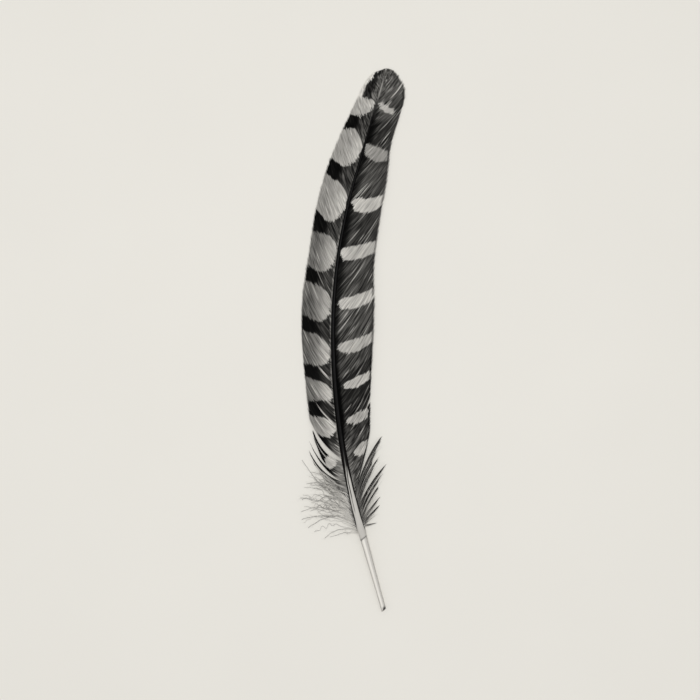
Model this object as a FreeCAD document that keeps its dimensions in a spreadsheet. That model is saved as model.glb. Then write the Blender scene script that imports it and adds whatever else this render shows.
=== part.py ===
"""Quill pen: one barred flight feather with a bare writing barrel, built from its separate pieces.

Row frame: the feather lies on a flat surface at z = 0 with its hollow barrel towards -Y and its tip
towards +Y. +X is to the right of the feather seen from above. The origin is under the middle of the
bounding box. All sizes are in millimetres.
"""
import FreeCAD, Part
import math
import os
import Sketcher
from FreeCAD import Placement, Rotation, Vector

os.makedirs("parts", exist_ok=True)
doc = FreeCAD.newDocument("QuillPen")

# ---------------------------------------------------------------- driving dimensions
DIMENSIONS = [
    # plan line of the shaft: straight barrel, two arcs that bow to the left, straight tip
    ("mouth_y", -124.95), ("slant_y", -91.0), ("shaft_end_y", 124.2),
    ("barrel_lean", 15.7), ("tip_lean", 16.0),
    ("bow_y", 4.0), ("bow_x", -8.95), ("lower_bow_radius", 330.0), ("upper_bow_radius", 250.0),
    # side line of the shaft: one shallow arch, straight along the barrel
    ("crest_y", -4.0), ("crest_height", 4.225), ("arch_radius", 2200.0), ("barrel_top_y", -92.0),
    # barrel: a round horn tube, cylindrical near its mouth and wider towards the rachis
    ("end_length", 10.0), ("mouth_radius", 1.15), ("collar_radius", 1.6),
    ("mouth_bore", 0.85), ("collar_bore", 1.25), ("collar_overrun", 4.0),
    ("mouth_slant", 32.0), ("mouth_roll", -40.0), ("slant_angle", 25.0),
    ("plug_depth", 1.1), ("plug_inset", 0.12), ("seal_thickness", 0.35), ("fit_gap", 0.04),
    ("cup_count", 8), ("cup_first", 5.5), ("cup_pitch", 3.2), ("cup_height", 1.9), ("cup_wall", 0.1),
    # rachis: height against width, how much of it is pith, and where the pith ends
    ("height_share", 0.9), ("pith_share", 0.68), ("pith_end_y", 96.0),
    # vanes
    ("web_thickness", 0.35), ("web_gap", 0.12), ("root_gap", 0.06), ("root_rise", 0.25), ("droop_power", 1.6),
    ("down_thickness", 0.7), ("strip_tip_width", 0.35),
]

# Half width of the rachis along its length, from the barrel to the tip: (y, half width).
RACHIS_WIDTHS = [(-95.5, 1.6), (-91.0, 1.63), (-84.0, 1.93), (-66.0, 1.68), (-48.0, 1.5), (-28.0, 1.36),
                 (-8.0, 1.2), (20.0, 0.95), (64.0, 0.72), (100.0, 0.5), (124.2, 0.3)]

# One row per guide barb: (y where it leaves the shaft, x and y of its free end, height of that end).
LEFT_GUIDES = [(-54.0, -20.0, -36.3, 1.0), (-44.0, -21.3, -25.0, 0.5), (-32.0, -22.7, -11.0, 0.25),
               (-18.0, -23.7, 5.0, 0.2), (-2.0, -23.1, 22.0, 0.2), (18.0, -19.9, 43.0, 0.2),
               (38.0, -16.8, 62.0, 0.2), (58.0, -11.6, 80.5, 0.2), (78.0, -4.4, 98.0, 0.2),
               (94.0, 1.3, 110.0, 0.2), (106.0, 5.2, 118.0, 0.2), (116.0, 9.5, 123.0, 0.25),
               (124.2, 14.9, 125.2, 0.4)]
RIGHT_GUIDES = [(-71.0, 2.6, -64.5, 2.9), (-67.0, 4.6, -57.0, 2.6), (-62.0, 6.6, -49.0, 2.3),
                (-56.0, 7.9, -41.0, 2.1), (-46.0, 8.0, -26.0, 2.0), (-32.0, 8.9, -9.0, 1.9),
                (-14.0, 9.9, 13.0, 1.8), (6.0, 9.7, 33.0, 1.6), (28.0, 12.2, 54.0, 1.4),
                (50.0, 15.7, 74.0, 1.1), (68.0, 17.7, 90.0, 0.8), (82.0, 21.2, 102.0, 0.6),
                (93.0, 23.5, 110.0, 0.5), (102.0, 23.7, 116.0, 0.4), (111.0, 20.9, 121.6, 0.35),
                (118.5, 18.2, 124.4, 0.35), (124.2, 15.9, 125.2, 0.4)]
DOWN_GUIDES = [(-70.5, -23.2, -60.5, 1.6), (-74.5, -24.0, -69.5, 1.2), (-78.5, -23.9, -76.5, 1.0),
               (-82.5, -22.4, -83.5, 0.9), (-86.0, -18.6, -88.6, 0.8), (-89.5, -11.0, -91.6, 1.0)]

# Where each vane parts into webs: the y of the parting barb at the shaft.
LEFT_PARTINGS = [-54.0, -36.0, -18.0, 4.0, 30.0, 58.0, 90.0, 124.2]
RIGHT_PARTINGS = [-71.0, -55.0, -34.0, -10.0, 14.0, 40.0, 66.0, 92.0, 124.2]

# Strips that have come unzipped: (name, y of the lower and upper root, x, y and height of the free end,
# width of the free end).
LEFT_STRIPS = [("left_split_web_upper", -62.3, -55.4, -18.7, -44.0, 1.2, 6.4),
               ("left_split_strip_middle", -64.7, -62.8, -18.5, -49.6, 1.4, 0.5),
               ("left_split_strip_lower", -69.6, -65.2, -18.0, -55.0, 1.5, 3.2)]
RIGHT_CLUMPS = [("right_loose_clump_1", -74.2, -71.6, 12.9, -45.5, 2.2),
                ("right_loose_clump_2", -76.6, -74.4, 12.5, -51.5, 2.0),
                ("right_loose_clump_3", -79.0, -76.8, 14.6, -58.3, 1.9),
                ("right_loose_clump_4", -81.0, -79.2, 13.9, -62.8, 1.7),
                ("right_loose_clump_5", -82.8, -81.2, 13.0, -67.6, 1.6),
                ("right_loose_clump_6", -84.4, -83.0, 12.1, -72.4, 1.5),
                ("right_loose_clump_7", -86.0, -84.6, 11.6, -77.4, 1.4),
                ("right_basal_wisp", -87.2, -86.5, 9.1, -84.6, 1.5)]

LEFT_CURL = 0.36    # how much sooner a left barb moves out than up: 0 is straight
RIGHT_CURL = 0.16
SPLIT_CURL = 0.45
DOWN_CURL = 0.05
SLAB_SIDE = 8.0     # wider than the shaft, for the slabs that cut it
RACHIS_STEPS = 24   # sections of the rachis, less one
ALONG_STEPS = 6     # grid steps of a web along the shaft
BARB_STEPS = 6      # grid steps of a web along its barbs

sheet = doc.addObject("Spreadsheet::Sheet", "Dimensions")


def write_cell(row, words, value, alias):
    sheet.set("A%d" % row, words)
    sheet.set("B%d" % row, str(value))
    sheet.setAlias("B%d" % row, alias)


for row, (alias, value) in enumerate(DIMENSIONS, start=1):
    write_cell(row, alias, value, alias)
doc.recompute()
dim = {alias: float(sheet.get(alias)) for alias, value in DIMENSIONS}


# ---------------------------------------------------------------- the shaft's line
def arc_point_x(radius, offset):
    """How far a bow of this radius has moved right at this distance from its leftmost point."""
    return radius - math.sqrt(radius ** 2 - offset ** 2)


def shaft_x(y):
    """Plan line of the shaft."""
    offset = y - dim["bow_y"]
    radius = dim["upper_bow_radius"] if offset > 0 else dim["lower_bow_radius"]
    lean = math.radians(dim["tip_lean"] if offset > 0 else dim["barrel_lean"])
    reach = min(abs(offset), radius * math.sin(lean))
    beyond = abs(offset) - reach
    return dim["bow_x"] + arc_point_x(radius, reach) + beyond * math.tan(lean)


def shaft_z(y):
    """Height of the shaft's axis."""
    curved_y = max(y, dim["barrel_top_y"])
    height = dim["crest_height"] - (curved_y - dim["crest_y"]) ** 2 / (2 * dim["arch_radius"])
    slope = (dim["crest_y"] - dim["barrel_top_y"]) / dim["arch_radius"]
    return height - slope * (curved_y - y)


def shaft_point(y):
    return Vector(shaft_x(y), y, shaft_z(y))


def shaft_direction(y):
    """Unit vector along the shaft towards the tip."""
    step = 0.05
    return (shaft_point(y + step) - shaft_point(y - step)).normalize()


def smooth(table, place, column=1):
    """Smooth curve through a table's rows, read at a place in its first column."""
    last = len(table) - 1
    place = min(max(place, table[0][0]), table[last][0])
    low = 0
    while low < last - 1 and table[low + 1][0] < place:
        low += 1

    def slope(index):
        before = table[max(index - 1, 0)]
        after = table[min(index + 1, last)]
        return (after[column] - before[column]) / (after[0] - before[0])

    start = table[low]
    end = table[low + 1]
    span = end[0] - start[0]
    t = (place - start[0]) / span
    rise_start = (2 * t ** 3 - 3 * t ** 2 + 1) * start[column]
    rise_end = (3 * t ** 2 - 2 * t ** 3) * end[column]
    lean_start = (t ** 3 - 2 * t ** 2 + t) * span * slope(low)
    lean_end = (t ** 3 - t ** 2) * span * slope(low + 1)
    return rise_start + rise_end + lean_start + lean_end


def bind(obj, **expressions):
    """Bind an object's sizes to the sheet."""
    for name, expression in expressions.items():
        obj.setExpression(name, expression)


def add(kind, name, **values):
    obj = doc.addObject(kind, name)
    for key, value in values.items():
        setattr(obj, key, value)
    return obj


subparts = []


def keep(obj, label):
    """Name a finished sub-part: its label is its node and its file."""
    obj.Label = label
    subparts.append(obj)
    return obj


# ---------------------------------------------------------------- barrel
mouth_centre = shaft_point(dim["mouth_y"])
slant_centre = shaft_point(dim["slant_y"])
barrel_length = (slant_centre - mouth_centre).Length
barrel_axis = (slant_centre - mouth_centre).normalize()
level_across = Vector(barrel_axis.y, -barrel_axis.x, 0).normalize()
barrel_rotation = Rotation(level_across, barrel_axis.cross(level_across), barrel_axis, "ZXY")
barrel_place = Placement(mouth_centre, barrel_rotation)

write_cell(len(DIMENSIONS) + 1, "barrel from mouth to slanted line", barrel_length, "barrel_length")
first_width_row = len(DIMENSIONS) + 2
rachis_stations = []
for step in range(RACHIS_STEPS + 1):
    station_y = RACHIS_WIDTHS[0][0] + (RACHIS_WIDTHS[-1][0] - RACHIS_WIDTHS[0][0]) * step / RACHIS_STEPS
    alias = "rachis_width_%s" % chr(ord("a") + step)
    rachis_stations.append((station_y, alias))
    write_cell(first_width_row + step, "rachis half width at y = %.2f" % station_y,
               round(smooth(RACHIS_WIDTHS, station_y), 4), alias)
doc.recompute()


def origin_plane(body, role):
    return [feature for feature in body.Origin.OriginFeatures if feature.Role == role][0]


def polygon_sketch(body, name, corners, roll=0.0):
    """Closed sketch on a plane through the body's axis. Each corner has two values and two rules."""
    sketch = body.newObject("Sketcher::SketchObject", name)
    sketch.AttachmentSupport = [(origin_plane(body, "XZ_Plane"), "")]
    sketch.MapMode = "FlatFace"
    sketch.AttachmentOffset = Placement(Vector(0, 0, 0), Rotation(Vector(0, 1, 0), roll))
    points = [Vector(across, along, 0) for across, along, *expressions in corners]
    for index, point in enumerate(points):
        sketch.addGeometry(Part.LineSegment(point, points[(index + 1) % len(points)]), False)
    for index in range(len(points)):
        sketch.addConstraint(Sketcher.Constraint("Coincident", index, 2, (index + 1) % len(points), 1))
    for index, (across, along, across_rule, along_rule) in enumerate(corners):
        for kind, value, rule in (("DistanceX", across, across_rule), ("DistanceY", along, along_rule)):
            number = sketch.addConstraint(Sketcher.Constraint(kind, -1, 1, index, 1, value))
            sketch.setExpression("Constraints[%d]" % number, rule)
    return sketch


def slant_pocket(body, name, corners, roll=0.0):
    """Cut the barrel right across with a wedge, whose slanted side leaves the new end."""
    pocket = body.newObject("PartDesign::Pocket", name)
    pocket.Profile = polygon_sketch(body, name + "Outline", corners, roll)
    pocket.Type = "ThroughAll"
    pocket.SideType = "Symmetric"
    return pocket


mouth_rise = dim["mouth_radius"] * math.tan(math.radians(dim["mouth_slant"]))
MOUTH_RISE_RULE = "Dimensions.mouth_radius * tan(Dimensions.mouth_slant)"


def make_barrel():
    """Horn tube: turned wall, then both ends cut on the slant."""
    body = doc.addObject("PartDesign::Body", "Barrel")
    end = dim["end_length"]
    top = barrel_length + dim["collar_overrun"]
    top_rule = "Dimensions.barrel_length + Dimensions.collar_overrun"
    wall = body.newObject("PartDesign::Revolution", "Wall")
    wall.Profile = polygon_sketch(body, "WallOutline", [
        (dim["mouth_bore"], 0, "Dimensions.mouth_bore", "0"),
        (dim["mouth_radius"], 0, "Dimensions.mouth_radius", "0"),
        (dim["mouth_radius"], end, "Dimensions.mouth_radius", "Dimensions.end_length"),
        (dim["collar_radius"], barrel_length, "Dimensions.collar_radius", "Dimensions.barrel_length"),
        (dim["collar_radius"], top, "Dimensions.collar_radius", top_rule),
        (dim["collar_bore"], top, "Dimensions.collar_bore", top_rule),
        (dim["collar_bore"], barrel_length, "Dimensions.collar_bore", "Dimensions.barrel_length"),
        (dim["mouth_bore"], end, "Dimensions.mouth_bore", "Dimensions.end_length")])
    wall.ReferenceAxis = (wall.Profile[0], ["V_Axis"])
    wall.Angle = 360
    doc.recompute()
    whole = wall.Shape.Volume
    reach = 2 * dim["mouth_radius"]
    mouth = slant_pocket(body, "Mouth", [
        (-reach, -mouth_rise, "-2 * Dimensions.mouth_radius", "-" + MOUTH_RISE_RULE),
        (reach, -mouth_rise, "2 * Dimensions.mouth_radius", "-" + MOUTH_RISE_RULE),
        (reach, 3 * mouth_rise, "2 * Dimensions.mouth_radius", "3 * " + MOUTH_RISE_RULE)], dim["mouth_roll"])
    doc.recompute()
    assert mouth.Shape.Volume < whole, "the slanted mouth cuts nothing"
    wide = 2 * dim["collar_radius"]
    slant_rise = wide * math.tan(math.radians(dim["slant_angle"]))
    high = barrel_length + 2 * dim["collar_overrun"]
    high_rule = "Dimensions.barrel_length + 2 * Dimensions.collar_overrun"
    middle_rule = "Dimensions.barrel_length"
    wide_rule = "2 * Dimensions.collar_radius"
    slant_rule = "2 * Dimensions.collar_radius * tan(Dimensions.slant_angle)"
    collar = slant_pocket(body, "Collar", [
        (-wide, barrel_length - slant_rise, "-" + wide_rule, middle_rule + " - " + slant_rule),
        (wide, barrel_length + slant_rise, wide_rule, middle_rule + " + " + slant_rule),
        (wide, high, wide_rule, high_rule),
        (-wide, high, "-" + wide_rule, high_rule)])
    doc.recompute()
    assert collar.Shape.Volume < mouth.Shape.Volume, "the slanted collar cuts nothing"
    body.Placement = barrel_place
    return keep(body, "calamus_barrel")


def slab(name, thickness_rule, centre, rotation, lift):
    """A square slab across the barrel. Its low face stands lift above centre, along the slab's own axis."""
    box = add("Part::Box", name, Length=SLAB_SIDE, Width=SLAB_SIDE)
    bind(box, Height=thickness_rule)
    corner = Vector(-SLAB_SIDE / 2, -SLAB_SIDE / 2, lift)
    box.Placement = Placement(centre + rotation.multVec(corner), rotation)
    return box


slant_rotation = barrel_rotation.multiply(Rotation(Vector(0, 1, 0), -dim["slant_angle"]))
mouth_rotation = barrel_rotation.multiply(
    Rotation(Vector(0, 0, 1), dim["mouth_roll"])).multiply(Rotation(Vector(0, 1, 0), -dim["mouth_slant"]))


def make_plug():
    """Dried pulp that closes the opening at the foot of the barrel, set a little inside the slanted mouth."""
    rod = add("Part::Cylinder", "PlugRod", Height=SLAB_SIDE)
    bind(rod, Radius="Dimensions.mouth_bore - Dimensions.fit_gap")
    rod.Placement = Placement(mouth_centre, barrel_rotation)
    band = slab("PlugBand", "Dimensions.plug_depth", mouth_centre + barrel_axis * mouth_rise, mouth_rotation,
                dim["plug_inset"])
    return keep(add("Part::Common", "Plug", Base=rod, Tool=band), "lower_umbilicus_plug")


def make_seal():
    """Thin slanted skin between the hollow barrel and the pith of the rachis."""
    rod = add("Part::Cylinder", "SealRod", Height=SLAB_SIDE)
    bind(rod, Radius="Dimensions.collar_bore - 2 * Dimensions.fit_gap")
    rod.Placement = Placement(slant_centre - barrel_axis * SLAB_SIDE / 2, barrel_rotation)
    band = slab("SealBand", "Dimensions.seal_thickness", slant_centre, slant_rotation,
                -dim["seal_thickness"] - dim["fit_gap"])
    return keep(add("Part::Common", "Seal", Base=rod, Tool=band), "upper_umbilicus_seal")


def make_pulp_cups():
    """Dry pulp cups, one behind the other in the barrel, like a stack of thimbles that point to the mouth."""
    cups = []
    for step in range(int(dim["cup_count"])):
        along = dim["cup_first"] + step * dim["cup_pitch"]
        taper = max(along - dim["end_length"], 0) / (barrel_length - dim["end_length"])
        bore = dim["mouth_bore"] + (dim["collar_bore"] - dim["mouth_bore"]) * taper
        rim = bore - dim["fit_gap"]
        place = Placement(mouth_centre + barrel_axis * along, barrel_rotation)
        outer = add("Part::Cone", "CupOuter%d" % step, Radius1=rim * 0.45, Radius2=rim)
        bind(outer, Height="Dimensions.cup_height")
        outer.Placement = place
        inner = add("Part::Cone", "CupInner%d" % step)
        bind(inner, Radius1="CupOuter%d.Radius1 - Dimensions.cup_wall * 1 mm" % step,
             Radius2="CupOuter%d.Radius2 - Dimensions.cup_wall * 1 mm" % step, Height="Dimensions.cup_height")
        inner.Placement = Placement(place.Base + barrel_axis * dim["cup_wall"], barrel_rotation)
        cups.append(add("Part::Cut", "Cup%d" % step, Base=outer, Tool=inner))
    return keep(add("Part::Compound", "Cups", Links=cups), "pulp_cups")


# ---------------------------------------------------------------- rachis
def rachis_loft(name, share_rule):
    """Loft through upright ellipses along the shaft's line."""
    sections = []
    for station_y, alias in rachis_stations:
        along = shaft_direction(station_y)
        across = Vector(along.y, -along.x, 0).normalize()
        width = "Dimensions.%s%s" % (alias, share_rule)
        section = add("Part::Ellipse", "%sSection" % name)
        bind(section, MajorRadius=width, MinorRadius="%s * Dimensions.height_share" % width)
        upright = Rotation(across, along.cross(across), along, "ZXY")
        section.Placement = Placement(shaft_point(station_y), upright)
        sections.append(section)
    return add("Part::Loft", name, Sections=sections, Solid=True, Ruled=False)


def make_rachis():
    """Solid upper shaft: a horn cortex round a core of pith, both cut at the slanted line."""
    outside = rachis_loft("RachisOutside", "")
    core = rachis_loft("RachisCore", " * Dimensions.pith_share")
    below = slab("BelowSlant", str(SLAB_SIDE), slant_centre, slant_rotation, -SLAB_SIDE)
    tip_reach = dim["shaft_end_y"] - dim["pith_end_y"]
    past_core = add("Part::Box", "PastPith", Length=tip_reach, Width=tip_reach + SLAB_SIDE, Height=SLAB_SIDE)
    box_side_x = shaft_x(dim["pith_end_y"]) - tip_reach / 2
    past_core.Placement = Placement(Vector(box_side_x, 0, -SLAB_SIDE / 2), Rotation())
    bind(past_core, **{"Placement.Base.y": "Dimensions.pith_end_y"})
    foot = add("Part::Cut", "RachisFoot", Base=outside, Tool=below)
    core_foot = add("Part::Cut", "CoreFoot", Base=core, Tool=below)
    pith = keep(add("Part::Cut", "Pith", Base=core_foot, Tool=past_core), "rachis_pith")
    keep(add("Part::Cut", "Cortex", Base=foot, Tool=pith), "rachis_cortex")


# ---------------------------------------------------------------- vanes
def barb_point(root_y, side, end, curl, out):
    """A point on the barb that leaves the shaft at root_y, at a share out of its way to its free end."""
    along = shaft_direction(root_y)
    along.z = 0
    along.normalize()
    across = Vector(along.y, -along.x, 0) * side
    half_width = smooth(RACHIS_WIDTHS, root_y) + dim["root_gap"]
    root = shaft_point(root_y) + across * half_width
    root.z += dim["root_rise"] * half_width
    way = Vector(end.x - root.x, end.y - root.y, 0)
    moved_out = way.dot(across) * out * (1 + curl * (1 - out))
    moved_along = way.dot(along) * out * (1 - curl * (1 - out))
    point = root + across * moved_out + along * moved_along
    point.z = root.z + (end.z - root.z) * out ** dim["droop_power"]
    return point


def closed_web(rows, thickness):
    """Closed solid round a grid of points: a smooth skin above, the same below, and ruled edges."""
    skins = []
    for lift in (thickness / 2, -thickness / 2):
        surface = Part.BSplineSurface()
        surface.interpolate([[point + Vector(0, 0, lift) for point in row] for row in rows])
        skins.append(surface.toShape())
    edges = [Part.makeRuledSurface(top, bottom) for top, bottom in zip(skins[0].Edges, skins[1].Edges)]
    shell = Part.makeShell(skins + edges)
    shell.sewShape()
    return Part.makeSolid(shell)


def make_web(label, rows, thickness):
    feature = doc.addObject("Part::Feature", "Web")
    solid = closed_web(rows, thickness)
    if solid.Volume < 0:
        solid.reverse()
    feature.Shape = solid
    feature.Placement = Placement()
    return keep(feature, label)


def guide_end(guides, root_y):
    return Vector(smooth(guides, root_y, 1), smooth(guides, root_y, 2), smooth(guides, root_y, 3))


def barb_row(root_y, side, end, curl):
    return [barb_point(root_y, side, end, curl, step / BARB_STEPS) for step in range(BARB_STEPS + 1)]


def make_vane(prefix, side, guides, partings, curl):
    """Webs of zipped barbs between two parting barbs, with a hair gap at each parting."""
    for number, (low, high) in enumerate(zip(partings, partings[1:]), start=1):
        start = low + dim["web_gap"] / 2
        span = high - low - dim["web_gap"]
        rows = []
        for step in range(ALONG_STEPS + 1):
            root_y = start + span * step / ALONG_STEPS
            rows.append(barb_row(root_y, side, guide_end(guides, root_y), curl))
        make_web("%s_%d" % (prefix, number), rows, dim["web_thickness"])


def make_strip(label, side, low, high, end, tip_width, curl):
    """A few barbs that have come away together and run to one narrow end."""
    spread = Vector(0, tip_width / 2, 0)
    rows = []
    for root_y, tip in ((low, end - spread), ((low + high) / 2, end), (high, end + spread)):
        rows.append(barb_row(root_y, side, tip, curl))
    make_web(label, rows, dim["web_thickness"])


def make_down():
    """Loose down at the left of the shaft's foot, in tufts between neighbouring guide barbs."""
    partings = [guide[0] for guide in DOWN_GUIDES]
    for number, (high, low) in enumerate(zip(partings, partings[1:]), start=1):
        rows = []
        for share in (0.04, 0.5, 0.96):
            root_y = low + (high - low) * share
            rows.append(barb_row(root_y, -1, guide_end(DOWN_GUIDES[::-1], root_y), DOWN_CURL))
        make_web("downy_tuft_%d" % number, rows, dim["down_thickness"])


make_barrel()
make_plug()
make_seal()
make_pulp_cups()
make_rachis()
make_vane("left_vane_web", -1, LEFT_GUIDES, LEFT_PARTINGS, LEFT_CURL)
make_vane("right_vane_web", 1, RIGHT_GUIDES, RIGHT_PARTINGS, RIGHT_CURL)
for label, low, high, end_x, end_y, end_z, tip_width in LEFT_STRIPS:
    make_strip(label, -1, low, high, Vector(end_x, end_y, end_z), tip_width, SPLIT_CURL)
for label, low, high, end_x, end_y, end_z in RIGHT_CLUMPS:
    make_strip(label, 1, low, high, Vector(end_x, end_y, end_z), dim["strip_tip_width"], 0.0)
make_down()
doc.recompute()

# ---------------------------------------------------------------- check and write
for obj in doc.Objects:
    assert "Invalid" not in obj.State and "Error" not in obj.State, "failed: " + obj.Label
for obj in subparts:
    assert not obj.Shape.isNull(), "empty: " + obj.Label
    assert obj.Shape.isValid(), "not valid: " + obj.Label
    assert obj.Shape.Solids, "no solid: " + obj.Label

whole = Part.makeCompound([obj.Shape for obj in subparts])
box = whole.optimalBoundingBox(False, False)
for side, low, high in (("x", box.XMin, box.XMax), ("y", box.YMin, box.YMax), ("z", box.ZMin, box.ZMax)):
    print("whole box %s %.3f to %.3f" % (side, low, high))
for obj in subparts:
    obj.Shape.exportStep("parts/%s.step" % obj.Label)
    print("%-26s %d solid(s) %9.3f mm3" % (obj.Label, len(obj.Shape.Solids), obj.Shape.Volume))
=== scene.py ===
"""The looks of the quill pen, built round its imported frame.

Every barb of the two vanes, the loose clumps and the down is its own closed strand. Lengths in the
tables are millimetres in the row frame: +Y runs from the barrel to the tip, +Z is up, and the feather
lies on z = 0. MM turns them into Blender's metres.
"""

import math

import bpy
import numpy as np
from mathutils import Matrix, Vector


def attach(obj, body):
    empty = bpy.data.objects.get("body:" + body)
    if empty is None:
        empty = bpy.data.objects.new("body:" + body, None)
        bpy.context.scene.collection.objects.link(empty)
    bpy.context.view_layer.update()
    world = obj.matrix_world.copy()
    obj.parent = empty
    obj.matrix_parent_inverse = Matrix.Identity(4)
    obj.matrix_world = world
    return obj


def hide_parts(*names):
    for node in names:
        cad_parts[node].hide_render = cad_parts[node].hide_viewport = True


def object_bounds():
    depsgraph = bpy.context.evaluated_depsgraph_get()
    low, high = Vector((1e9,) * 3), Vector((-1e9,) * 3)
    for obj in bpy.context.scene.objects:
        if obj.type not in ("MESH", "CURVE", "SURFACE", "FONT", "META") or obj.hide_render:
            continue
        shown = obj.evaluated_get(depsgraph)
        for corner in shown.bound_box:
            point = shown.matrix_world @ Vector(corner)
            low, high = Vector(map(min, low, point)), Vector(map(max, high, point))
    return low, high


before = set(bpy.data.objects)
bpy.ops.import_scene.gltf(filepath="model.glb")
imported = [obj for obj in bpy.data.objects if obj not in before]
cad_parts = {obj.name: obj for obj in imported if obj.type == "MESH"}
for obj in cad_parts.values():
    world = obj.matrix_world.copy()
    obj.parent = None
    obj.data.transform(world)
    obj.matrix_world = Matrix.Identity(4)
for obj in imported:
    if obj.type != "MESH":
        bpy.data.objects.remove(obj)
CAD_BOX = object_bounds()
MM = 0.001

# ---- the feather's lines, as in the frame
# Along the shaft: the barrel's mouth, the slanted line above the barrel and the shaft's thin end.
MOUTH_Y, SLANT_Y, SHAFT_END_Y = -124.95, -91.0, 124.2
# Seen from above, the shaft bows to the left in two arcs and leans to the right at both ends.
BARREL_LEAN, TIP_LEAN = math.radians(15.7), math.radians(16.0)
BOW_Y, BOW_X, LOWER_BOW_RADIUS, UPPER_BOW_RADIUS = 4.0, -8.95, 330.0, 250.0
# Seen from the side, it arches up from the surface, and the barrel is straight.
CREST_Y, CREST_HEIGHT, ARCH_RADIUS, BARREL_TOP_Y = -4.0, 4.225, 2200.0, -92.0
# Barrel: the length of its even end, its radii and bores, and the slants of its two cuts.
END_LENGTH, MOUTH_RADIUS, COLLAR_RADIUS, MOUTH_BORE, COLLAR_BORE = 10.0, 1.15, 1.6, 0.85, 1.25
MOUTH_SLANT, MOUTH_ROLL, COLLAR_SLANT = math.radians(32.0), math.radians(-40.0), math.radians(25.0)
# Rachis height as a share of its width, how far up it a barb starts as a share of its half width, and how
# late a barb droops.
HEIGHT_SHARE, ROOT_RISE, DROOP_POWER = 0.9, 0.25, 1.6

# Half width of the rachis along its length: (y, half width).
RACHIS_WIDTHS = [
    (-95.5, 1.6), (-91, 1.63), (-84, 1.93), (-66, 1.68), (-48, 1.5), (-28, 1.36), (-8, 1.2), (20, 0.95),
    (64, 0.72), (100, 0.5), (124.2, 0.3)]

# One row per guide barb: (y where it leaves the shaft, x and y of its free end, height of that end).
LEFT_GUIDES = [
    (-54, -20, -36.3, 1), (-44, -21.3, -25, 0.5), (-32, -22.7, -11, 0.25), (-18, -23.7, 5, 0.2),
    (-2, -23.1, 22, 0.2), (18, -19.9, 43, 0.2), (38, -16.8, 62, 0.2), (58, -11.6, 80.5, 0.2),
    (78, -4.4, 98, 0.2), (94, 1.3, 110, 0.2), (106, 5.2, 118, 0.2), (116, 9.5, 123, 0.25),
    (124.2, 15.25, 125.2, 0.4)]
RIGHT_GUIDES = [
    (-71, 2.6, -64.5, 2.9), (-67, 4.6, -57, 2.6), (-62, 6.6, -49, 2.3), (-56, 7.9, -41, 2.1),
    (-46, 8, -26, 2), (-32, 8.9, -9, 1.9), (-14, 9.9, 13, 1.8), (6, 9.7, 33, 1.6), (28, 12.2, 54, 1.4),
    (50, 15.7, 74, 1.1), (68, 17.7, 90, 0.8), (82, 21.2, 102, 0.6), (93, 23.5, 110, 0.5),
    (102, 23.7, 116, 0.4), (111, 20.9, 121.6, 0.35), (118.5, 18.2, 124.4, 0.35), (124.2, 15.5, 125.2, 0.4)]
# The same for the down, with how far each barb bows towards the tip on its way, in the last column.
DOWN_GUIDES = [
    (-89.5, -9.5, -92, 0.8, 1.6), (-87.3, -14.5, -90.4, 0.8, 2.6), (-85.6, -22, -84.8, 0.9, 3.4),
    (-81.5, -23.8, -77.5, 1, 3.2), (-77.5, -23, -70, 1.2, 2.4), (-73.5, -21, -64, 1.6, 0.6),
    (-70.5, -18.6, -60.6, 1.8, -0.6)]
DOWN_PARTINGS = [-70.5, -74.5, -78.5, -82.5, -86, -89.5]
# Long single barbs of the down: the same columns, and a grey.
DOWN_WISPS = [
    (-85.4, -23.4, -82.8, 0.8, 3.6, 84), (-85.9, -20.6, -86.4, 0.8, 3.8, 92),
    (-83.4, -23.9, -78.6, 0.9, 2, 120), (-79.4, -23.9, -72.4, 1, 2.2, 112),
    (-73.6, -23.2, -55, 1.4, -5.5, 140), (-75.4, -21.2, -66.4, 1.2, 2, 110),
    (-87.6, -12.8, -91.2, 0.7, 2.4, 140), (-88.2, -10.3, -90.9, 0.7, 0.6, 150)]
# The close-lying feet of the downy barbs: (y at the shaft, x, y and height of the free end).
DOWN_FEET = [(-86.6, -6.6, -69.8, 1.5), (-80, -7.4, -66.8, 1.6), (-70.4, -9, -62.5, 1.7)]
# Where the webs of the two vanes part, by y at the shaft.
LEFT_PARTINGS = [-54, -36, -18, 4, 30, 58, 90, 124.2]
RIGHT_PARTINGS = [-71, -55, -34, -10, 14, 40, 66, 92, 124.2]

# Unzipped strips: (node, y of the lower and upper root, x, y and height of the free end, how far apart the
# ends lie, how the barbs bow, how far the longest barb reaches, openings).
LEFT_STRIPS = [
    ("left_split_web_upper", -62.3, -55.6, -18.4, -43.6, 1.2, 4.6, 0.64, 1.02, [(-57.3, 0.3, 0.95, 0.7)]),
    ("left_split_strip_middle", -64.7, -62.9, -18.7, -49.4, 1.4, 0.5, 0.45, 1.14, []),
    ("left_split_strip_lower", -69.6, -65.4, -18.4, -55.6, 1.5, 3, 0.45, 1.15,
     [(-66.9, 0.2, 1.2, 1.3), (-68.2, 0.3, 1.2, 0.6)])]
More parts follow.
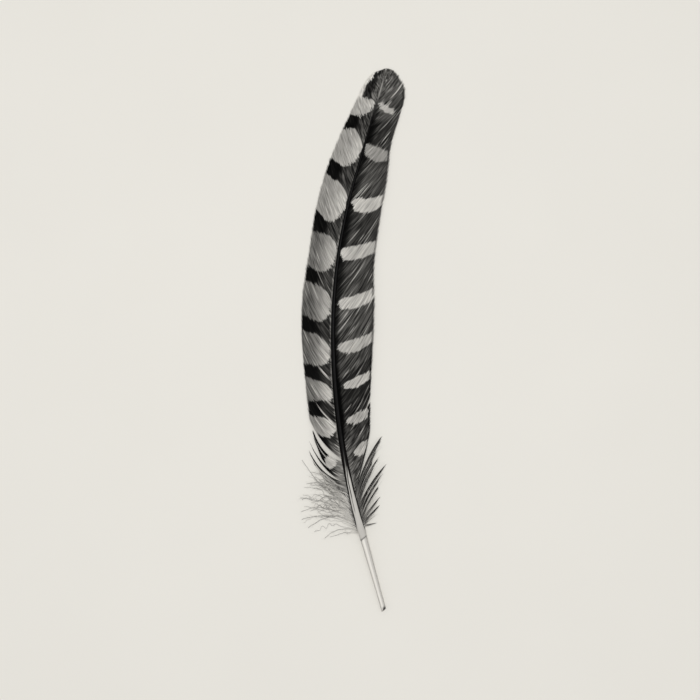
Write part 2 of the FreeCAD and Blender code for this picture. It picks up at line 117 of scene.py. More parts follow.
# Loose clumps: the same up to the bow, then how much paler the middle barbs are, in greys.
RIGHT_CLUMPS = [
    ("right_loose_clump_1", -74.2, -71.2, 12.9, -45.2, 2.2, 3.8, -0.22, 58),
    ("right_loose_clump_2", -77, -75, 12.1, -53.6, 2, 2, -0.24, 24),
    ("right_loose_clump_3", -79.2, -77.2, 14.8, -57.9, 1.9, 0.95, -0.2, -14),
    ("right_loose_clump_4", -81.2, -80.1, 13.3, -62, 1.7, 0.75, -0.2, -10),
    ("right_loose_clump_5", -82.6, -81.9, 11.9, -67.6, 1.6, 0.7, -0.16, 4),
    ("right_loose_clump_6", -84, -83.2, 11.9, -72.7, 1.5, 0.5, -0.12, 14),
    ("right_loose_clump_7", -85.2, -84.5, 12, -76.6, 1.4, 0.5, -0.1, 20),
    ("right_basal_wisp", -86.1, -85.5, 11.1, -84.1, 1.5, 0.2, 0.1, 30)]
# How the barbs bow, by y at the shaft for the two vanes, and for the down.
LEFT_CURL = [(-54, 0.36), (-14, 0.34), (16, 0.2), (50, 0.12), (124.2, 0.1)]
RIGHT_CURL = [(-71, 0.16), (124.2, 0.16)]
DOWN_CURL, FEET_CURL = -0.25, -0.1
# Share of the barbs that carry a light or a dark hair, by y at the shaft.
LEFT_HAIRS = [(-54, 0.2), (-14, 0.16), (12, 0.07), (124.2, 0.06)]
RIGHT_HAIRS = [(-71, 0.2), (124.2, 0.2)]

# ---- pigment
# Pale patches of the left vane: (lowest and highest y at the vane's edge, lowest and highest y at mid
# vane, y of the rounded nose by the shaft, how blunt the nose is, grey at the edge, grey at the shaft).
# Greys run from 0 to 255 as they look on screen.
LEFT_PATCHES = [
    (104.2, 113.2, 103.2, 111.2, 108.4, 2.2, 168, 186), (84.2, 97.8, 79.9, 97.8, 88.4, 1.7, 158, 184),
    (60.6, 77.2, 54.2, 73.4, 64, 1.9, 146, 190), (34.4, 50.7, 31.2, 48.9, 40.6, 2.1, 112, 184),
    (11.8, 27.8, 8.6, 25.2, 16.5, 2.2, 100, 174), (-10.6, 4.8, -12, 3, -4.9, 1.8, 106, 180),
    (-28.4, -16.4, -27.7, -18.7, -24.3, 2.4, 118, 188), (-40.6, -34.6, -44.8, -35.2, -39.7, 2, 140, 196)]
# The last pale patch, on the unzipped web: its middle, half width, half height and grey.
SPLIT_PATCH = (-9.9, -56.1, 2.7, 2.9, 182)
# Greys of the left vane's bands by the shaft and further out, its foot, the seam along the shaft and the
# rim at the tip.
LEFT_BAND, LEFT_BLACK, LEFT_FOOT, LEFT_SEAM, LEFT_RIM = 62, 13, 122, 150, 212
# Below this line, through (x, y) with a slope, the lowest strip is soft and pale.
STRIP_LINE = (-7.7, -65.1, 0.83)
# Pale bars of the right vane: (x and y of the end by the shaft, x and y at the vane's edge, sag,
# thickness at the start, middle and end, grey).
RIGHT_BARS = [
    (12.2, 108.5, 18.8, 105.1, 0.3, 3.3, 3.4, 3, 180), (5.4, 87.9, 16, 85.1, 0.9, 5.8, 6.9, 4.3, 150),
    (-0.2, 62.9, 16, 66.2, 2.6, 6.4, 6.6, 3.2, 192), (-5.6, 39.5, 12.8, 44.6, 1.5, 6.4, 6.4, 4.5, 186),
    (-6.4, 16.8, 11.8, 23.1, 1.9, 5, 6.2, 4.5, 188), (-6.7, -3.3, 11.8, 3.5, 2, 4.5, 6.2, 3.8, 178),
    (-4.4, -21.2, 9.2, -15.2, 0.8, 2.5, 5, 3.5, 188), (-3.1, -37.4, 7, -33.2, 0.5, 2, 5, 4.4, 170),
    (0.3, -52.1, 6.5, -48.4, 0.2, 1.4, 5.8, 4.6, 178)]
# Openings between barbs: (y at the shaft, where the opening starts and ends as a share of the barb,
# width in mm). An end past 1 stays open at the vane's edge.
LEFT_SPLITS = [
    (-47.6, 0.32, 0.78, 0.8), (-41, 0, 0.40, 0.75), (-38.4, 0.03, 0.64, 1), (-33.8, 0.42, 0.78, 0.5),
    (-31, 0.02, 0.36, 0.6), (-28, 0.04, 0.4, 0.45), (-25, 0.06, 0.38, 0.7), (-19.2, 0.02, 0.42, 1.1),
    (-13, 0.1, 0.4, 0.3), (-4, 0, 0.3, 0.3), (9, 0.4, 0.75, 0.26), (18, 0.26, 0.74, 0.34),
    (33, 0.1, 0.5, 0.24), (50, 0.3, 0.8, 0.3), (76, 0.2, 0.6, 0.2)]
RIGHT_SPLITS = [
    (-60, 0.55, 1.2, 0.6), (-51.4, 0.4, 0.75, 0.5), (-47.4, 0.74, 1.2, 1.5), (-41, 0.3, 0.7, 0.4),
    (-35.4, 0.08, 0.3, 0.4), (-27, 0.35, 0.7, 0.3), (-20.4, 0.1, 0.3, 0.34), (-13, 0.2, 0.6, 0.3),
    (-7, 0.68, 1.2, 1), (-0.5, 0.46, 0.7, 0.36), (2.4, 0.03, 0.44, 0.5), (1.2, 0.9, 1.2, 0.6),
    (13, 0.1, 0.4, 0.34), (22.6, 0.24, 0.52, 0.42), (30, 0.44, 0.8, 0.36), (32.6, 0.64, 0.95, 0.4),
    (47, 0.3, 0.7, 0.3), (63.2, 0, 0.44, 1.7), (77, 0.6, 0.8, 0.5), (80.5, 0.5, 0.8, 0.7),
    (84, 0.14, 0.3, 0.4), (88, 0.8, 1.2, 0.7), (102.6, 0.35, 0.6, 0.4), (105, 0.5, 0.96, 0.6),
    (114.6, 0.3, 0.8, 0.4)]

# Ground grey of the right vane, by y.
RIGHT_GROUND = [
    (-71, 80), (-58, 74), (-44, 62), (-35, 42), (-22, 42), (-8, 70), (30, 70), (52, 56), (62, 64), (74, 80),
    (85, 60), (97, 58), (110, 82), (125, 80)]
RIGHT_EDGE = 16         # grey of the dark line along the right edge
LIGHT_HAIR, DARK_HAIR = (30, 110), (-44, -14)   # how far a hair stands out from the barb's own grey
OPENING_GREY = 226      # of the barb that catches the light beside an opening

# PAPER_GREY on screen is a reflectance of PAPER_ALBEDO, and the other greys follow by SCREEN_GAMMA.
PAPER_GREY, PAPER_ALBEDO, SCREEN_GAMMA = 240.0, 0.80, 2.2
GREY_LIMITS = (2, 250)
WARMTH = (1.0, 0.965, 0.895)

# ---- shaft
RACHIS_STATIONS, BARREL_STATIONS = 300, 90
ROUND_SHAFT = 2 * np.pi * np.arange(48) / 48
SHAFT_CAP = 0.2         # how far the thin end reaches past the last barb
# Grooves and ribs, as shares of the rachis's half width.
GROOVE_DEPTH, UNDER_GROOVE_DEPTH, RIB_DEPTH, RIB_COUNT = 0.13, 0.3, 0.01, 17
SHAFT_BLACK, SHAFT_PALE, SHAFT_JOINT, COLLAR_LINE, COLLAR_DOT, MOUTH_STAIN = 6, 190, 118, 104, 50, 48
# The pale foot of the shaft, by y: its left and right border, the dark line in it and half that line's
# width, all as shares of the half width, from -1 at the left to 1 at the right.
FOOT_LEFT = [
    (-90, -1.3), (-87, -1), (-83, -0.72), (-76, -0.72), (-69, -0.6), (-62.5, -0.45), (-55.5, -0.17),
    (-48, 0)]
FOOT_RIGHT = [
    (-90, 1.3), (-88, 0.98), (-83, 0.73), (-76, 0.69), (-69, 0.6), (-62.5, 0.5), (-59.7, 0.4),
    (-55.5, 0.1), (-48, 0.02)]
FOOT_LINE = [(-80, -0.3), (-76, -0.27), (-69, -0.21), (-62.5, -0.1), (-59.7, 0.1), (-57, 0.14)]
FOOT_LINE_HALF = [(-81, 0), (-76, 0.05), (-69, 0.12), (-62.5, 0.11), (-59.7, 0.09), (-57, 0.05)]
# Grey across the barrel, from its left side to its right: pale horn with painted light on it, a painted
# highlight left of the middle, painted shade on the right and darker painted edges.
BARREL_PAINTED_LIGHT_GREYS = [
    (-1, 180), (-0.82, 204), (-0.6, 236), (-0.3, 248), (0.05, 240), (0.3, 218), (0.75, 212), (1, 184)]

# ---- barbs, in mm
DOWN_BARBS, DOWN_FILAMENTS = (12, 12, 12, 7, 4), 22     # in each tuft, and along each downy barb
BARB_SPACING, STRIP_SPACING, CLUMP_SPACING, FEET_SPACING = 0.56, 0.45, 0.3, 0.5     # along the shaft
STATIONS = 64           # along each barb
JITTER = 0.36           # how far the pattern shifts along single barbs
OPENING_SPREAD = 1.2    # how far along the shaft an opening pushes the barbs aside
RIGHT_TRIM = 1.025      # how far the right vane's barbs reach, 1 being its guide line
WIDE_TIP = 1.0          # a strip or clump with ends further apart than this tapers over a longer way
FUZZ_COUNT, FUZZ_REACH, FUZZ_TIP_WIDTH = 13, 3.4, 0.4   # only clumps wider than the last have fuzz
LOWEST_TUFT, LOWEST_FOOT_Y = 5, -86.6           # the lowest tuft is paler, and dark feet start above it
FUZZ_GREY, FOOT_GREY, STEM_TONES = (168, 226), (74, 144), [92, 126, 158, 184]
FILAMENT_LENGTH, FILAMENT_GREY = (0.5, 2.2), 164
# Radius of each round strand at its root and how much it loses on its way.
STEM_RADIUS, FILAMENT_RADIUS, FUZZ_RADIUS = (0.1, 0.05), (0.022, 0.011), (0.045, 0.034)
REACH = 1.1             # how far a ribbon reaches towards its neighbour's edge
END_TAPER = 0.93        # share of a barb after which its ribbon narrows
# Cross-section of a barb: (share of the way to the neighbour, lift in mm), round the strand.
RIBBON = [
    (-1, -0.035), (-0.45, 0.015), (-0.14, 0.085), (0.14, 0.085), (0.45, 0.035), (1, 0.03), (0.94, -0.03),
    (0, -0.05), (-0.94, -0.095)]
RIBBON_EDGES = (0, 5)   # ring positions where the top skin meets the bottom skin
RIDGE_SHADE = np.array([-6, -2, 5, 5, -2, -6, -6, -6, -6])  # grey of each ring position against the barb's
OUT = np.linspace(0, 1, STATIONS)
FLAT, UP = np.array([1.0, 1.0, 0.0]), np.array([0.0, 0.0, 1.0])


def smooth(table, place, column=1):
    """Smooth curve through a table's rows, read at places in its first column."""
    rows = np.asarray(table, float)
    xs, ys = rows[:, 0], rows[:, column]
    place = np.clip(np.asarray(place, float), xs[0], xs[-1])
    ahead = np.minimum(np.arange(len(xs)) + 1, len(xs) - 1)
    behind = np.maximum(np.arange(len(xs)) - 1, 0)
    slopes = (ys[ahead] - ys[behind]) / (xs[ahead] - xs[behind])
    low = np.clip(np.searchsorted(xs, place, side="left") - 1, 0, len(xs) - 2)
    span = xs[low + 1] - xs[low]
    t = (place - xs[low]) / span
    return ((2 * t ** 3 - 3 * t ** 2 + 1) * ys[low] + (3 * t ** 2 - 2 * t ** 3) * ys[low + 1]
            + (t ** 3 - 2 * t ** 2 + t) * span * slopes[low] + (t ** 3 - t ** 2) * span * slopes[low + 1])


def step_up(value, low, high):
    """0 below low, 1 above high, smooth between."""
    t = np.clip((value - low) / (high - low), 0.0, 1.0)
    return t * t * (3 - 2 * t)


def shaft_x(y):
    offset = np.asarray(y, float) - BOW_Y
    radius = np.where(offset > 0, UPPER_BOW_RADIUS, LOWER_BOW_RADIUS)
    lean = np.where(offset > 0, TIP_LEAN, BARREL_LEAN)
    reach = np.minimum(np.abs(offset), radius * np.sin(lean))
    return BOW_X + radius - np.sqrt(radius ** 2 - reach ** 2) + (np.abs(offset) - reach) * np.tan(lean)


def shaft_z(y):
    y = np.asarray(y, float)
    curved = np.maximum(y, BARREL_TOP_Y)
    slope = (CREST_Y - BARREL_TOP_Y) / ARCH_RADIUS
    return CREST_HEIGHT - (curved - CREST_Y) ** 2 / (2 * ARCH_RADIUS) - slope * (curved - y)


def shaft_points(y):
    return np.stack([shaft_x(y), np.asarray(y, float), shaft_z(y)], -1)


def unit(vectors):
    return vectors / np.linalg.norm(vectors, axis=-1, keepdims=True)


def shaft_frame(y):
    """Unit vectors along the shaft, across it to the right and up from it."""
    step = 0.05
    along = unit(shaft_points(np.asarray(y) + step) - shaft_points(np.asarray(y) - step))
    across = unit(np.stack([along[..., 1], -along[..., 0], np.zeros_like(along[..., 0])], -1))
    return along, across, np.cross(across, along)


# ---- meshes
def mark_keen(mesh, line_of, keen_lines):
    """Sharpen the edges whose two points lie on the same keen line. line_of gives the line of a point."""
    ends = np.empty(len(mesh.edges) * 2, int)
    mesh.edges.foreach_get("vertices", ends)
    lines = line_of(ends).reshape(-1, 2)
    keen = (lines[:, 0] == lines[:, 1]) & np.isin(lines[:, 0], keen_lines)
    mesh.attributes.new("sharp_edge", "BOOLEAN", "EDGE").data.foreach_set("value", keen)


def coloured(name, mesh, greys, lay):
    """Shade a mesh smooth, give its points their pigment and lay, and put it in the scene."""
    mesh.polygons.foreach_set("use_smooth", np.ones(len(mesh.polygons), bool))
    shade = PAPER_ALBEDO * (np.clip(greys, *GREY_LIMITS).ravel() / PAPER_GREY) ** SCREEN_GAMMA
    colour = np.ones((len(mesh.vertices), 4))
    colour[:, :3] = shade[:, None] * np.asarray(WARMTH)
    mesh.color_attributes.new("pigment", "FLOAT_COLOR", "POINT").data.foreach_set("color", colour.ravel())
    mesh.attributes.new("lay", "FLOAT_VECTOR", "POINT").data.foreach_set("vector", lay.reshape(-1, 3).ravel())
    mesh.validate()
    piece = bpy.data.objects.new(name, mesh)
    bpy.context.scene.collection.objects.link(piece)
    return piece


def strands(name, rings, greys, lay, sharp=()):
    """One mesh of closed strands, from rings of shape (strands, stations, points round, 3) in mm.

    greys is how each point looks on screen, and lay holds each point's place across and along its
    strand, with one random number per strand. sharp lists the points of a ring with a keen line.
    """
    count, stations, around, _ = rings.shape
    middle = rings.mean(axis=2)
    first = rings[:, 0] - middle[:, 0][:, None]
    area = np.cross(first, np.roll(first, -1, axis=1)).sum(axis=1)
    if (area * (middle[:, 1] - middle[:, 0])).sum() < 0:
        rings, greys, lay = rings[:, :, ::-1], greys[:, :, ::-1], lay[:, :, ::-1]
        sharp = tuple(around - 1 - place for place in sharp)
    index = np.arange(count * stations * around).reshape(count, stations, around)
    low, high = index[:, :-1], index[:, 1:]
    sides = np.stack([low, np.roll(low, -1, 2), np.roll(high, -1, 2), high], -1).reshape(-1, 4)
    caps = np.concatenate([index[:, 0, ::-1], index[:, -1]])
    sizes = np.concatenate([np.full(len(sides), 4), np.full(len(caps), around)])
    loops = np.concatenate([sides.ravel(), caps.ravel()])
    mesh = bpy.data.meshes.new(name)
    mesh.vertices.add(index.size)
    mesh.vertices.foreach_set("co", (rings.reshape(-1, 3) * MM).ravel())
    mesh.loops.add(len(loops))
    mesh.loops.foreach_set("vertex_index", loops)
    mesh.polygons.add(len(sizes))
    mesh.polygons.foreach_set("loop_start", np.concatenate([[0], np.cumsum(sizes)[:-1]]))
    mesh.update(calc_edges=True)
    if sharp:
        mark_keen(mesh, lambda points: points % around, sharp)
    return coloured(name, mesh, greys, lay)


def dress(piece, material, node):
    """Give a finished piece its material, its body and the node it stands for."""
    piece.data.materials.append(material)
    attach(piece, "root")
    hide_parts(node)


def tubes(paths, radii, sides):
    """Rings of round strands along paths of shape (strands, stations, 3)."""
    ahead = unit(np.gradient(paths, axis=1) + 1e-9)
    flat = unit(np.cross(ahead, np.array([0.03, 0.02, 1.0])) + 1e-9)
    upright = np.cross(flat, ahead)
    angles = 2 * np.pi * np.arange(sides) / sides
    spokes = flat[:, :, None] * np.cos(angles)[:, None] + upright[:, :, None] * np.sin(angles)[:, None]
    return paths[:, :, None] + spokes * radii[:, :, None, None]


# ---- barbs
def barb_lines(roots, side, ends, curl, out):
    """Middle lines of barbs: (barbs, stations, 3). out runs from 0 at the shaft to 1 at the free end."""
    along, across, _ = shaft_frame(roots)
    along = unit(along * FLAT)
    across = across * side
    half = smooth(RACHIS_WIDTHS, roots)
    start = shaft_points(roots) + across * (half * 0.9)[:, None]
    start[:, 2] += ROOT_RISE * half
    way = (ends - start) * FLAT
    moved_out = (way * across).sum(-1)[:, None]
    moved_along = (way * along).sum(-1)[:, None]
    curl = np.broadcast_to(curl, roots.shape)[:, None]
    out = np.broadcast_to(out, (len(roots), np.shape(out)[-1]))
    share_out = out * (1 + curl * (1 - out))
    share_along = out * (1 - curl * (1 - out))
    lines = (start[:, None] + across[:, None] * (moved_out * share_out)[..., None]
             + along[:, None] * (moved_along * share_along)[..., None])
    drop = np.clip(out, 0, 1) ** DROOP_POWER
    lines[..., 2] = start[:, 2][:, None] + (ends[:, 2] - start[:, 2])[:, None] * drop
    return lines


def guide_ends(guides, roots):
    return np.stack([smooth(guides, roots, column) for column in (1, 2, 3)], -1)


def drift(rng, strands_count, stations, waves, reach=1):
    """Random values that change slowly along each strand, and are alike on `reach` neighbours."""
    knots = rng.normal(size=(strands_count + 2 * reach, waves))
    if reach > 1:
        kernel = np.ones(reach) / math.sqrt(reach)
        knots = np.apply_along_axis(lambda line: np.convolve(line, kernel, "same"), 0, knots)
    knots = knots[reach:reach + strands_count]
    place = np.linspace(0, waves - 1, stations)
    low = np.minimum(place.astype(int), waves - 2)
    t = place - low
    t = t * t * (3 - 2 * t)
    return knots[:, low] * (1 - t) + knots[:, low + 1] * t


def split_shift(roots, splits):
    """How far each station of each barb moves along the shaft to open the splits."""
    shift = np.zeros((len(roots), STATIONS))
    for split_y, start, end, width in splits:
        if end > 1:
            opening = step_up(OUT, start, 1.05)
        else:
            opening = np.sin(np.pi * np.clip((OUT - start) / (end - start), 0, 1)) ** 0.8
        gone = (roots - split_y)[:, None]
        shift += np.sign(gone) * 0.5 * width * opening[None] * np.exp(-np.abs(gone) / OPENING_SPREAD)
    return shift


def split_light(roots, splits):
    """How much the barb beside each opening catches the light."""
    light = np.zeros((len(roots), STATIONS))
    for split_y, start, end, width in splits:
        along_split = np.clip((OUT - start) / (min(end, 1.0) - start), 0, 1)
        window = np.sin(np.pi * (along_split if end <= 1 else 0.5 * along_split)) ** 0.8
        nearest = np.argmin(np.abs(roots - split_y))
        light[nearest] = np.maximum(light[nearest], window * min(1.0, 0.35 + 0.75 * width))
    return light


def ribbon_rings(lines, low_way, high_way, width):
    """Ring points of barbs whose edges reach towards their neighbours on both sides."""
    rings = []
    for share, lift in RIBBON:
        way = high_way if share > 0 else low_way
        point = lines + way * (abs(share) * REACH * width)[..., None]
        point[..., 2] += lift
        rings.append(point)
    return np.stack(rings, 2)


def run_length(lines):
    """How far along its barb each station lies, in mm."""
    return np.cumsum(np.linalg.norm(np.diff(lines, axis=1, prepend=lines[:, :1]), axis=-1), axis=1)


def neighbour_ways(lines):
    """Half the way from each barb to the one below it and to the one above it."""
    step = (lines[1:] - lines[:-1]) / 2
    low_way = -np.concatenate([step[:1], step])
    high_way = np.concatenate([step, step[-1:]])
    return low_way, high_way


def ribbon_lay(lines, low_way, high_way, rng):
    """Place across and along each barb in mm, with one random number per barb."""
    across = []
    for share, _ in RIBBON:
        way = high_way if share > 0 else low_way
        across.append(share * np.linalg.norm(way, axis=-1))
    across = np.stack(across, 2)
    along = np.broadcast_to(run_length(lines)[..., None], across.shape)
    chance = np.broadcast_to(rng.uniform(0, 40, len(lines))[:, None, None], across.shape)
    return np.stack([across, along, chance], -1)


# ---- greys of the vanes
def edge_x(guides, y):
    rows = np.asarray(guides)
    return np.interp(y, rows[:, 2], rows[:, 1])


def left_grey(x, y):
    """Pattern of the left vane: rounded pale patches, open to the edge, between dark bands."""
    flank = shaft_x(y) - smooth(RACHIS_WIDTHS, y)
    share = np.clip((flank - x) / np.maximum(flank - edge_x(LEFT_GUIDES, y), 0.4), 0, 1.05)
    foot = step_up(-y, 40, 52)
    tip = step_up(y, 108, 113)
    grey = LEFT_BAND - 14 * step_up(-y, -26, -8) * (1 - foot)
    black = step_up(share, 0.34 - 0.16 * foot - 0.14 * tip, 0.62 - 0.22 * foot - 0.2 * tip)
    grey = grey - (grey - LEFT_BLACK) * black + 24 * step_up(y, 104, 114)
    for edge_low, edge_high, mid_low, mid_high, nose, blunt, edge_tone, shaft_tone in LEFT_PATCHES:
        middles = [(0.0, nose), (0.5, (mid_low + mid_high) / 2), (1.0, (edge_low + edge_high) / 2)]
        centre = smooth(middles, share)
        outward = np.clip((share - 0.5) / 0.5, 0, 1)
        half = (mid_high - mid_low) / 2 * (1 - outward) + (edge_high - edge_low) / 2 * outward
        turn = np.clip((0.55 - share) / 0.53, 0, 1)
        above = np.clip(1 - turn ** (blunt - 0.5), 0, 1) ** (1 / (blunt - 0.3))
        below = np.clip(1 - turn ** (blunt + 0.6), 0, 1) ** (1 / (blunt + 0.5))
        rounded = np.where(y > centre, above, below)
        inside = step_up(half * rounded - np.abs(y - centre), -0.12, 0.34)
        tone = shaft_tone + (edge_tone - shaft_tone) * step_up(share, 0.08, 0.75)
        grey = grey + (tone - grey) * inside
    base = (1 - step_up(share, 0.1, 0.3)) * step_up(-y, 44, 56)
    grey = grey + (LEFT_FOOT - grey) * base
    patch_x, patch_y, half_x, half_y, tone = SPLIT_PATCH
    blob = np.abs((x - patch_x) / half_x) ** 2.5 + np.abs((y - patch_y) / half_y) ** 2.5
    grey = grey + (tone - grey) * (1 - step_up(blob, 0.75, 1.25))
    under = STRIP_LINE[1] - STRIP_LINE[2] * (x - STRIP_LINE[0]) - y
    soft = 158 - 64 * np.exp(-((under - 1.9) / 0.6) ** 2)
    grey = grey + (soft - grey) * step_up(under, 0.1, 0.7) * step_up(share, 0.12, 0.3)
    seam = (1 - step_up(share, 0.0, 0.05)) * (1 - step_up(y, 40, 70)) * step_up(y, -58, -50)
    grey = grey + (LEFT_SEAM - grey) * 0.75 * seam
    rim = 0.80 - 0.08 * np.clip((114 - y) / 4, 0, 1)
    margin = step_up(share - rim, -0.02, 0.03) * step_up(y, 110.0, 112.0) * (1 - step_up(y, 123, 125))
    return grey + (LEFT_RIM - grey) * margin


def right_grey(x, y):
    """Pattern of the right vane: dark and streaky, blackest by the shaft, with pale bars to the edge."""
    flank = shaft_x(y) + smooth(RACHIS_WIDTHS, y)
    share = np.clip((x - flank) / np.maximum(edge_x(RIGHT_GUIDES, y) - flank, 0.4), 0, 1.05)
    grey = smooth(RIGHT_GROUND, y)
    black_width = 1.6 + 2.4 * step_up(y, -20, 30)
    black = np.clip(1 - (x - flank) / black_width, 0, 1) * (1 - step_up(y, 100, 112)) * step_up(y, -52, -38)
    grey = grey - 46 * step_up(black, 0.0, 0.9)
    grey = grey + 34 * (1 - step_up(share, 0.12, 0.4)) * step_up(-y, 42, 58)
    for start_x, start_y, end_x, end_y, sag, thick, middle_thick, end_thick, tone in RIGHT_BARS:
        way = (x - start_x) / (end_x - start_x)
        inner = np.clip(way, 0, 1.1)
        centre = start_y + (end_y - start_y) * way - 4 * sag * inner * (1 - inner)
        half = smooth([(0.0, thick), (0.5, middle_thick), (1.1, end_thick)], way) / 2
        rounded = np.sqrt(np.clip(1 - (np.clip(0.13 - way, 0, 0.13) / 0.13) ** 2, 0, 1)) * (way > 0)
        inside = step_up(half * rounded - np.abs(y - centre), -0.15, 0.3)
        grey = grey + (tone - grey) * inside * (1 - step_up(x, end_x - 0.1, end_x + 0.5))
    lined = 1 - step_up(y, 60, 90) + 0.8 * step_up(y, 98, 104) * (1 - step_up(y, 114, 118))
    edge = step_up(share, 0.93, 0.985) * lined
    strength = 0.35 + 0.65 * step_up(-y, 0, 14) + 0.4 * step_up(y, 90, 98)
    return grey + (RIGHT_EDGE - grey) * edge * strength


def streaks(grey, rng, hairs):
    """Light and dark lines along the barbs, with single hairs that catch the light or sink."""
    count = len(grey)
    fine = drift(rng, count, STATIONS, 9)
    broad = drift(rng, count, STATIONS, 6, reach=3)
    level = grey.mean(-1)
    dark_share = 1 - step_up(level, 70, 140)
    swing = (4 + 0.24 * level) * dark_share + (6 + 0.045 * level) * (1 - dark_share)
    lines = swing * (1.08 * fine + (0.12 + 0.2 * dark_share) * broad)
    for reach, in_pale in ((LIGHT_HAIR, 0.25), (DARK_HAIR, 1.0)):
        chosen = (rng.random(count) < hairs)[:, None]
        start = rng.uniform(-0.1, 0.75, count)[:, None]
        length = rng.uniform(0.15, 0.6, count)[:, None]
        window = np.sin(np.pi * np.clip((OUT - start) / length, 0, 1)) ** 0.7
        strength = rng.uniform(*reach, count)[:, None] * (dark_share + in_pale * (1 - dark_share))
        lines = lines + chosen * window * strength * step_up(level, 14, 50)
    return grey + lines[..., None] + RIDGE_SHADE


def barb_piece(roots, side, ends, curl, pattern, rng, splits=(), slack=0.012, trim=1.0, hairs=0.2):
    """A web of separate barbs. Gives the rings, greys and lay for every barb.

    trim is how far the barbs reach, 1 being their ends, slack how unevenly they do, and hairs the share
    of them that carry a light or a dark hair.
    """
    even = barb_lines(roots, side, ends, curl, OUT)
    low_way, high_way = neighbour_ways(even)
    longer = trim * (1 + np.clip(rng.normal(0, slack, len(roots)), -2 * slack, 1.5 * slack))
    lines = barb_lines(roots, side, ends, curl, OUT * longer[:, None])
    along = unit(shaft_frame(roots)[0] * FLAT)
    lines += along[:, None] * split_shift(roots, splits)[..., None]
    lines[..., 2] += 0.02 * drift(rng, len(roots), STATIONS, 4) * step_up(OUT, 0.0, 0.3)
    width = np.broadcast_to(1 - 0.8 * step_up(OUT, END_TAPER, 1.0), lines.shape[:2])
    rings = ribbon_rings(lines, low_way, high_way, width)
    shift = JITTER * rng.normal(size=len(roots)) + 0.5 * JITTER * drift(rng, len(roots), 2, 2, reach=3)[:, 0]
    ahead = unit(np.gradient(lines, axis=1))
    seen = rings + (ahead * shift[:, None, None])[:, :, None]
    grey = streaks(pattern(seen[..., 0], seen[..., 1]), rng, hairs)
    grey = grey + (OPENING_GREY - grey) * split_light(roots, splits)[..., None]
    return rings, grey, ribbon_lay(lines, low_way, high_way, rng)


# ---- materials
def material(name):
    made = bpy.data.materials.new(name)
    made.use_nodes = True
    made.node_tree.nodes.clear()
    return made


def add_node(mat, kind, inputs, **settings):
    """A node whose inputs are linked to the sockets given for them, or set to the values."""
    node = mat.node_tree.nodes.new(kind)
    for key, value in settings.items():
        setattr(node, key, value)
    for key, value in inputs.items():
        if isinstance(value, bpy.types.NodeSocket):
            mat.node_tree.links.new(value, node.inputs[key])
        else:
            node.inputs[key].default_value = value
    return node


def carried(mat, name, kind="Vector"):
    """What the mesh carries under this name."""
    return add_node(mat, "ShaderNodeAttribute", {}, attribute_name=name).outputs[kind]


def math_node(mat, operation, *values):
    return add_node(mat, "ShaderNodeMath", dict(enumerate(values)), operation=operation).outputs[0]


def mixed(mat, factor, first, second, blend="MIX"):
    sockets = {0: factor, 6: first, 7: second}
    return add_node(mat, "ShaderNodeMix", sockets, data_type="RGBA", blend_type=blend).outputs[2]


def tinted(mat, tint):
    """The mesh's pigment times a tint."""
    return mixed(mat, 1.0, carried(mat, "pigment", "Color"), tint, "MULTIPLY")


def noise(mat, place, scale, detail):
    sockets = {"Vector": place, "Scale": scale, "Detail": detail}
    return add_node(mat, "ShaderNodeTexNoise", sockets).outputs["Fac"]


def stretched(mat, place, scale):
    return add_node(mat, "ShaderNodeMapping", {"Vector": place, "Scale": scale}).outputs[0]


def between(mat, socket, low, high):
    sockets = {"Value": socket, "To Min": low, "To Max": high}
    return add_node(mat, "ShaderNodeMapRange", sockets).outputs["Result"]


def bump(mat, height, strength, distance):
    sockets = {"Height": height, "Strength": strength, "Distance": distance}
    return add_node(mat, "ShaderNodeBump", sockets).outputs[0]


def finish_material(mat, sockets):
    shader = add_node(mat, "ShaderNodeBsdfPrincipled", sockets)
    add_node(mat, "ShaderNodeOutputMaterial", {"Surface": shader.outputs[0]})
    return mat


def keratin_web(name, relief):
    """Feather web: pigment from the mesh, barbule rows that lean off each barb, and a soft sheen."""
    mat = material(name)
    lay = carried(mat, "lay")
    parts = add_node(mat, "ShaderNodeSeparateXYZ", {0: lay}).outputs
    off_barb = math_node(mat, "MULTIPLY", math_node(mat, "ABSOLUTE", parts[0]), 9.0)
    row = math_node(mat, "ADD", off_barb, math_node(mat, "MULTIPLY", parts[1], -14.0))
    barbules = math_node(mat, "SINE", math_node(mat, "MULTIPLY", row, 3.2))
    flow = noise(mat, stretched(mat, lay, (5.0, 0.35, 1.0)), 1.0, 3.0)
    tint = math_node(mat, "ADD", between(mat, flow, 0.78, 1.24), math_node(mat, "MULTIPLY", barbules, 0.05))
    height = math_node(mat, "ADD", math_node(mat, "MULTIPLY", barbules, 0.25), flow)
    return finish_material(mat, {
        "Base Color": tinted(mat, tint), "Roughness": between(mat, noise(mat, lay, 3.0, 2.0), 0.52, 0.74),
        "Normal": bump(mat, height, relief, 0.00006),
        "Specular IOR Level": 0.05, "Sheen Weight": 0.01, "Sheen Roughness": 0.4})


def downy(name):
    """Loose down: pigment from the mesh with a soft sheen along every filament."""
    mat = material(name)
    uneven = noise(mat, carried(mat, "lay"), 0.8, 2.0)
    return finish_material(mat, {
        "Base Color": tinted(mat, between(mat, uneven, 0.8, 1.2)),
        "Roughness": between(mat, uneven, 0.6, 0.8),
        "Specular IOR Level": 0.15, "Sheen Weight": 0.1, "Sheen Roughness": 0.5})


def horn(name, stretch, shades, relief, spots, gloss, sockets):
    """Horn: pigment from the mesh, fine lengthwise grain in its colour and relief, and scattered scuffs."""
    mat = material(name)
    lay = carried(mat, "lay")
    grain = noise(mat, stretched(mat, lay, stretch), 1.0, 4.0)
    return finish_material(mat, {
        "Base Color": tinted(mat, between(mat, grain, *shades)), "Normal": bump(mat, grain, *relief),
        "Roughness": between(mat, noise(mat, lay, *spots), *gloss), **sockets})


